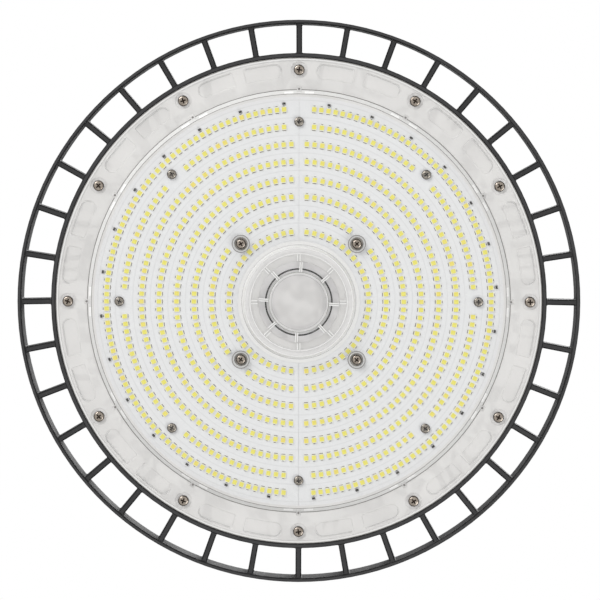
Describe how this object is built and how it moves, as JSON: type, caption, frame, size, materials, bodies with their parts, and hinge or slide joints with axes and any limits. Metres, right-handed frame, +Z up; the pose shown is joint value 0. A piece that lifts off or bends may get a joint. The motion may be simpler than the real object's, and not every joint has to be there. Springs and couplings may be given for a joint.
{
  "type": "high bay light",
  "caption": "Round hanging LED light with a finned cast heat sink, clear cover over LED rings, driver housing and hanging eye.",
  "frame": {"origin": "centre of the hoop's lower edge, in the plane the light rests on face down", "axes": "+Z up when it hangs, LED side facing -Z; the board seam runs along Y; the cable gland points to +Y"},
  "size_m": [0.32, 0.32, 0.1625],
  "materials": {
    "black_powder_coat": "satin powder coat on die-cast aluminium",
    "clear_polycarbonate": "clear gloss",
    "frosted_polycarbonate": "frosted",
    "white_silicone": "matt, die cut",
    "grey_rubber": "matt",
    "black_rubber": "matt",
    "white_solder_mask": "satin white solder mask on aluminium",
    "led_phosphor": "yellow phosphor in a white package",
    "black_epoxy": "matt moulded",
    "plated_steel": "nickel plated",
    "black_oxide_steel": "black oxide",
    "zinc_plated_steel": "zinc plated, forged",
    "white_nylon": "moulded",
    "black_nylon": "moulded, matt",
    "green_laminate": "solder mask",
    "yellow_tape": "tape wound",
    "black_sleeve": "shrink sleeve",
    "ferrite": "sintered"
  },
  "bodies": {
    "root": {"board_chips": "black_epoxy", "board_screws": "plated_steel", "board_spacers": "plated_steel", "boss_screws": "plated_steel", "boss_seals": "grey_rubber", "breather_valve": "black_nylon", "capacitors": "black_sleeve", "driver_board": "green_laminate", "driver_housing": "black_powder_coat", "driver_screws": "plated_steel", "eye_nut": "zinc_plated_steel", "eye_washer": "zinc_plated_steel", "filter_choke": "ferrite", "gland_body": "black_nylon", "gland_cap": "black_nylon", "gland_nut": "black_nylon", "gland_seal": "black_rubber", "hanging_eye": "zinc_plated_steel", "heat_sink": "black_powder_coat", "housing_lid": "black_powder_coat", "housing_screws": "black_oxide_steel", "led_board_left": "white_solder_mask", "led_board_right": "white_solder_mask", "led_row_1": "led_phosphor", "led_row_2": "led_phosphor", "led_row_3": "led_phosphor", "led_row_4": "led_phosphor", "led_row_5": "led_phosphor", "led_row_6": "led_phosphor", "led_row_7": "led_phosphor", "led_row_8": "led_phosphor", "lens_cover": "clear_polycarbonate", "lens_gasket": "white_silicone", "lid_gasket": "black_rubber", "lid_screws": "black_oxide_steel", "rim_screws": "plated_steel", "sensor_port_cap": "frosted_polycarbonate", "sensor_port_seal": "black_rubber", "sensor_socket": "white_nylon", "terminal_block": "white_nylon", "transformer": "yellow_tape", "wire_seal": "black_rubber"}
  },
  "joints": []
}
